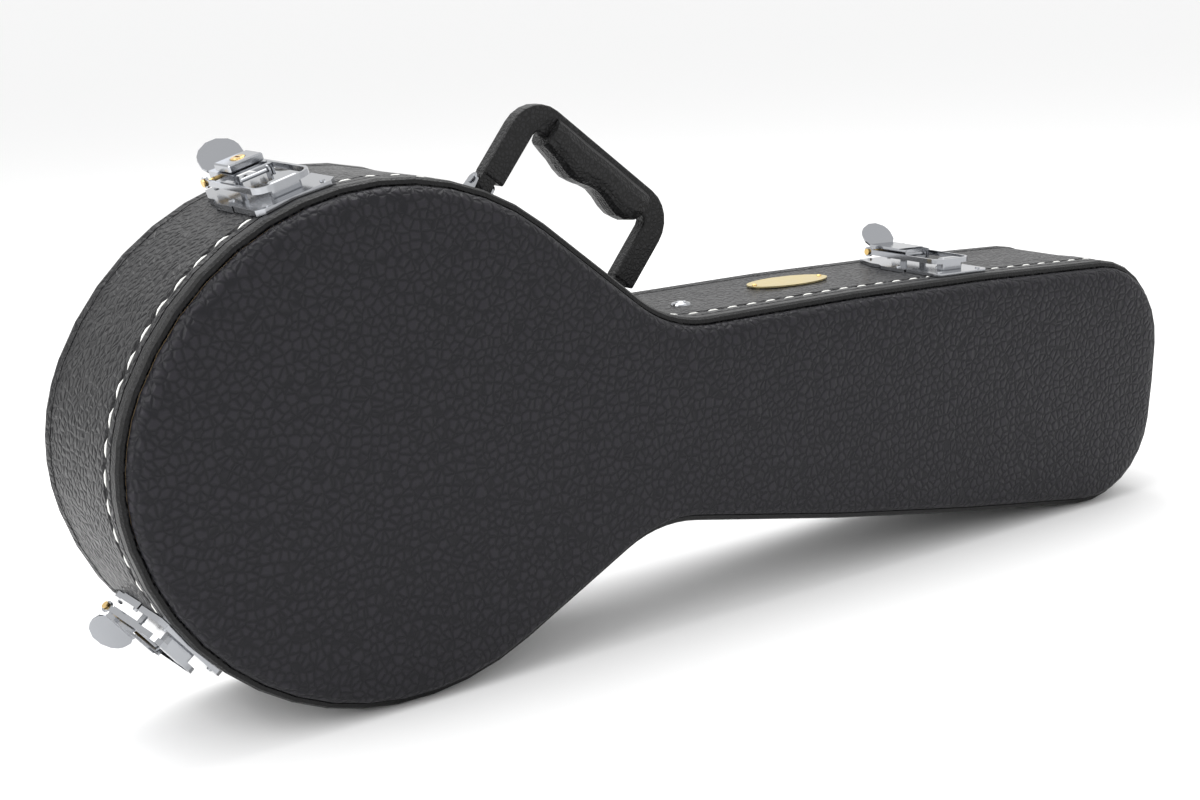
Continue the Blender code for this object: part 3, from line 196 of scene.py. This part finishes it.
# One finish for each material slot of the record. A cell and a depth are in metres,
# and a scale is noise waves in a metre
materials = {
    # Each crease colour is painted shade, a darker colour in the creases of the grain
    "vinyl": grainedVinyl(
        "vinyl", color=(0.011, 0.011, 0.012), creaseShadeColor=(0.004, 0.004, 0.005),
        cell=0.0048, depth=0.0014, roughness=0.34),
    "panel_vinyl": grainedVinyl(
        "panelVinyl", color=(0.014, 0.013, 0.017), creaseShadeColor=(0.005, 0.005, 0.007),
        cell=0.0052, depth=0.0011, roughness=0.46),
    "welt_vinyl": grainedVinyl(
        "weltVinyl", color=(0.008, 0.008, 0.009), creaseShadeColor=(0.004, 0.004, 0.004),
        cell=0.0020, depth=0.0002, roughness=0.38),
    "handle": grainedVinyl(
        "handleVinyl", color=(0.016, 0.016, 0.017), creaseShadeColor=(0.006, 0.006, 0.006),
        cell=0.0026, depth=0.0004, roughness=0.40),
    "leather": grainedVinyl(
        "tabLeather", color=(0.030, 0.024, 0.022), creaseShadeColor=(0.012, 0.010, 0.009),
        cell=0.0018, depth=0.0003, roughness=0.50),
    "plush": fibre("plush", color=(0.060, 0.060, 0.068), roughness=0.88, scale=900.0, depth=0.0012),
    "plywood": fibre(
        "plywood", color=(0.50, 0.36, 0.20), roughness=0.68,
        scale=240.0, depth=0.0003, stretch=(0.15, 1.0, 1.0)),
    "chrome": metal("chrome", color=(0.37, 0.38, 0.40), roughness=0.13),
    "brass": metal("brass", color=(0.72, 0.50, 0.20), roughness=0.26),
    "badge": metal("badgeMetal", color=(0.62, 0.52, 0.27), roughness=0.34, scale=220.0),
}
threadMaterial = fibre("thread", color=(0.80, 0.80, 0.77), roughness=0.75, scale=1500.0, depth=0.0004)
print("materials made")


def dressNodes():
    slots = {part["node"]: part["material_slot"] for part in frame["record"]["subparts"]}
    for name, node in frame["nodes"].items():
        node.data.materials.clear()
        node.data.materials.append(materials[slots[name]])
    return slots


# Soft pieces: the padded panel and the pads, with rolled edges
soft = {
    "lid_panel": {"body": "lid", "roll": 0.0022, "fill": 0.9},
    "lid_pad": {"body": "lid", "roll": 0.0022, "fill": 0.7},
    "back_pad": {"body": "case_body", "roll": 0.0020, "fill": 0.7},
    "tail_pad": {"body": "case_body", "roll": 0.0030, "fill": 0.8},
    "neck_rest": {"body": "case_body", "roll": 0.0025, "fill": 0.8},
}
rolledEdge = {"weld": 0.00002, "segments": 4, "sharperThan": 40}  # metres, steps, degrees


def makeSoft():
    for name, value in soft.items():
        mesh = frame["nodes"][name].data.copy()
        made = addObject(name + "_soft", mesh)
        weld = made.modifiers.new("weld", "WELD")
        weld.merge_threshold = rolledEdge["weld"]
        edge = made.modifiers.new("roll", "BEVEL")
        edge.width = value["roll"]
        edge.segments = rolledEdge["segments"]
        edge.limit_method = "ANGLE"
        edge.angle_limit = math.radians(rolledEdge["sharperThan"])
        mesh.shade_smooth()
        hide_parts(name)
        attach(made, value["body"])


# White saddle stitches in the groove round the lid wall
stitch = {
    "depth": 0.0165,  # from the front groove to the line of stitches
    "length": 0.0108,
    "pitch": 0.0152,
    "radius": 0.00085,
    "roundness": 2,
    "rise": 0.0008,  # of the middle of a stitch, from the bottom of its groove
    "dip": 0.0004,  # of its ends
    "offLine": 0.0003,  # how far a point of the wall may lie from the line
    "apart": 0.0005,  # points nearer than this are one
}


# The bottom of the stitch groove, as a closed run of the lid wall's own points
def grooveRing():
    depth = caseFrame["place"][1] + stitch["depth"]
    found = []
    for vert in frame["nodes"]["lid_wall"].data.vertices:
        point = vert.co
        onLine = abs(point.y - depth) < stitch["offLine"]
        if onLine and all((point - other).length > stitch["apart"] for other in found):
            found.append(point.copy())
    ring = [found.pop()]
    while found:
        ring.append(min(found, key=lambda other: (other - ring[-1]).length))
        found.remove(ring[-1])
    return ring + [ring[0]]


# The point that lies a given run along the ring, and the way that the ring goes there
def pointAt(ring, run):
    for start, stop in zip(ring, ring[1:]):
        span = (stop - start).length
        if run <= span:
            way = (stop - start) / span
            return start + way * run, way
        run -= span
    return ring[-1].copy(), (ring[-1] - ring[-2]).normalized()


def newThread():
    curve = bpy.data.curves.new("stitching", "CURVE")
    curve.dimensions = "3D"
    curve.bevel_depth = stitch["radius"]
    curve.bevel_resolution = stitch["roundness"]
    curve.use_fill_caps = True
    curve.materials.append(threadMaterial)
    return curve


def makeStitches():
    ring = grooveRing()
    stretches = list(zip(ring, ring[1:]))
    total = sum((stop - start).length for start, stop in stretches)
    turning = sum(start.x * stop.z - stop.x * start.z for start, stop in stretches)
    side = 1 if turning > 0 else -1  # which side of the ring is outside
    curve = newThread()
    count = round(total / stitch["pitch"])
    heights = (-stitch["dip"], stitch["rise"], stitch["rise"], -stitch["dip"])
    for number in range(count):
        middle = total * (number + 0.5) / count
        spline = curve.splines.new("POLY")
        spline.points.add(len(heights) - 1)
        for step, height in enumerate(heights):
            run = middle + stitch["length"] * (step / (len(heights) - 1) - 0.5)
            point, way = pointAt(ring, run % total)
            out = Vector((way.z, 0.0, -way.x)) * side
            spline.points[step].co = (*(point + out * height), 1.0)
    made = addObject("stitching", curve)
    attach(made, "lid")
    return count


# White floor under a white sky
stage = {
    "floorSize": 80.0,
    "floorLevel": -0.0002,
    "floorColor": (0.92, 0.92, 0.92),
    "floorRoughness": 0.7,
    "skyColor": (1, 1, 1, 1),
    "sky": 1.0,
}


def makeStage():
    bpy.ops.mesh.primitive_plane_add(size=stage["floorSize"], location=(0, 0, stage["floorLevel"]))
    floor = bpy.context.object
    floor.name = "floor"
    floor.data.materials.append(newMaterial("floorWhite", stage["floorColor"], stage["floorRoughness"])[0])
    world = bpy.data.worlds.new("studio")
    world.use_nodes = True
    background = world.node_tree.nodes["Background"]
    background.inputs["Color"].default_value = stage["skyColor"]
    background.inputs["Strength"].default_value = stage["sky"]
    bpy.context.scene.world = world


# Soft lamps above and behind, at the left, and faintly in front
lamps = {
    "top": {"place": (0.1, 0.5, 1.6), "size": 1.6, "power": 22.0},
    "left": {"place": (-1.4, -0.2, 0.9), "size": 1.0, "power": 12.0},
    "front": {"place": (0.4, -1.8, 1.1), "size": 1.4, "power": 2.0},
}
lampTarget = (0, 0, 0.15)


def makeLamps():
    for name, value in lamps.items():
        light = bpy.data.lights.new(name, "AREA")
        light.energy = value["power"]
        light.size = value["size"]
        lamp = addObject(name, light)
        lamp.location = value["place"]
        aim = Vector(lampTarget) - Vector(value["place"])
        lamp.rotation_euler = aim.to_track_quat("-Z", "Y").to_euler()


placeCamera()
slots = dressNodes()
print("nodes dressed", len(slots))
makeSoft()
print("soft pieces made", len(soft))
print("stitches", makeStitches())
makeStage()
makeLamps()
bpy.context.scene.view_settings.view_transform = "Standard"
print("stage made")
